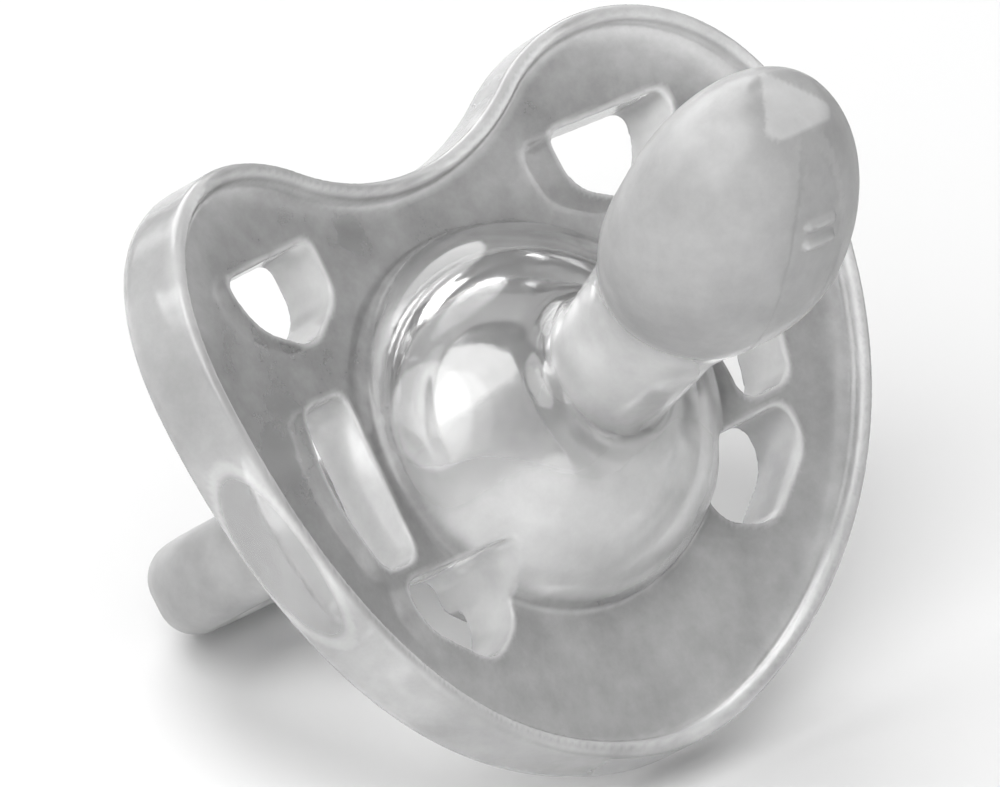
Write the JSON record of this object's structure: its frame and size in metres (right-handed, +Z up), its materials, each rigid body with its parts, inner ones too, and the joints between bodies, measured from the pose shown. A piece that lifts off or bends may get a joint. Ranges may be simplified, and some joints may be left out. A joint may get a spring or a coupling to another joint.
{
  "type": "pacifier",
  "caption": "Soft one-piece clear silicone pacifier: butterfly shield with vents, domed base, tilted flattened nipple and a loop handle that folds at the rear.",
  "frame": {"origin": "middle of the floor rectangle under the pacifier as it rests on the shield's lower rear edge and the handle's bar", "axes": "+Z up from the floor, +X across the shield to the viewer's right when facing the nipple, -Y the way the nipple points"},
  "size_m": [0.0466, 0.0378, 0.0399],
  "materials": {
    "clear_silicone": "clear, smooth moulded silicone",
    "teat_silicone": "clear silicone with a fine matt mould finish",
    "handle_silicone": "clear silicone with a soft satin mould finish"
  },
  "bodies": {
    "shield": {"shield_plate": "clear_silicone", "shield_rim": "clear_silicone", "rear_boss": "clear_silicone", "nipple_base": "clear_silicone"},
    "nipple": {"nipple_neck": "teat_silicone", "nipple_bulb": "teat_silicone", "tongue_ridges": "teat_silicone"},
    "handle": {"handle_web_left": "handle_silicone", "handle_web_right": "handle_silicone", "handle_arm_left": "handle_silicone", "handle_arm_right": "handle_silicone", "handle_bar": "handle_silicone"}
  },
  "joints": [
    {"name": "nipple_bend", "type": "hinge", "parent": "shield", "child": "nipple", "pos_m": [0, -0.0066, 0.02212], "axis": [1, 0, 0], "range_deg": [-15, 15], "stiffness_Nm_per_rad": 0.03, "deforming": ["nipple_neck"]},
    {"name": "handle_fold", "type": "hinge", "parent": "shield", "child": "handle", "pos_m": [0, 0.00425, 0.01282], "axis": [1, 0, 0], "range_deg": [-55, 55], "stiffness_Nm_per_rad": 0.08, "deforming": ["handle_web_left", "handle_web_right"]}
  ]
}
